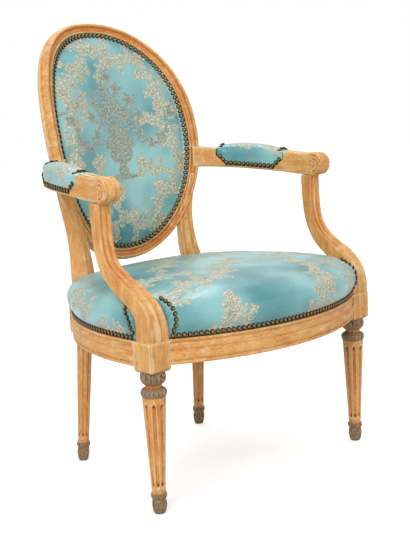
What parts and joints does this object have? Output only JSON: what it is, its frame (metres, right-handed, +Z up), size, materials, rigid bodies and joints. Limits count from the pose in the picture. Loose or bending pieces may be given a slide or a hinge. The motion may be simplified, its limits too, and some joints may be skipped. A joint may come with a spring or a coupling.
{
  "type": "upholstered armchair",
  "caption": "Armchair with an oval moulded back, scrolled arms with pads, bowed moulded seat rails and turned fluted legs, upholstered in figured satin with close nailing.",
  "frame": {"origin": "on the floor, under the middle of the chair's overall box", "axes": "+Z up; the front of the seat faces -Y; +X is to the right as the chair is seen from the front"},
  "size_m": [0.6484, 0.626, 0.9249],
  "materials": {
    "frame_wood": "waxed, worn limed beech",
    "brace_wood": "sawn, unfinished",
    "peg_wood": "cut flush",
    "satin": "figured silk satin",
    "webbing": "woven jute",
    "hessian": "open woven jute",
    "stuffing": "cotton over curled hair",
    "nail_bronze": "antiqued, dark",
    "steel": "dull"
  },
  "bodies": {
    "root": {"front_left_leg": "frame_wood", "rear_left_post": "frame_wood", "left_side_rail": "frame_wood", "left_arm_support": "frame_wood", "left_arm": "frame_wood", "left_arm_stuffing": "stuffing", "left_arm_cover": "satin", "left_arm_nails": "nail_bronze", "corner_brace_front_left": "brace_wood", "corner_brace_rear_left": "brace_wood", "front_right_leg": "frame_wood", "rear_right_post": "frame_wood", "right_side_rail": "frame_wood", "right_arm_support": "frame_wood", "right_arm": "frame_wood", "right_arm_stuffing": "stuffing", "right_arm_cover": "satin", "right_arm_nails": "nail_bronze", "corner_brace_front_right": "brace_wood", "corner_brace_rear_right": "brace_wood", "front_rail": "frame_wood", "rear_rail": "frame_wood", "crest_rail": "frame_wood", "lower_back_rail": "frame_wood", "brace_screws": "steel", "frame_pegs": "peg_wood", "seat_webbing": "webbing", "webbing_tacks": "steel", "seat_hessian": "hessian", "seat_stuffing": "stuffing", "seat_cover": "satin", "seat_nails": "nail_bronze", "support_nails": "nail_bronze", "back_webbing": "webbing", "back_hessian": "hessian", "back_stuffing": "stuffing", "back_cover": "satin", "back_nails": "nail_bronze", "outer_back_cover": "satin", "outer_back_nails": "nail_bronze"}
  },
  "joints": []
}
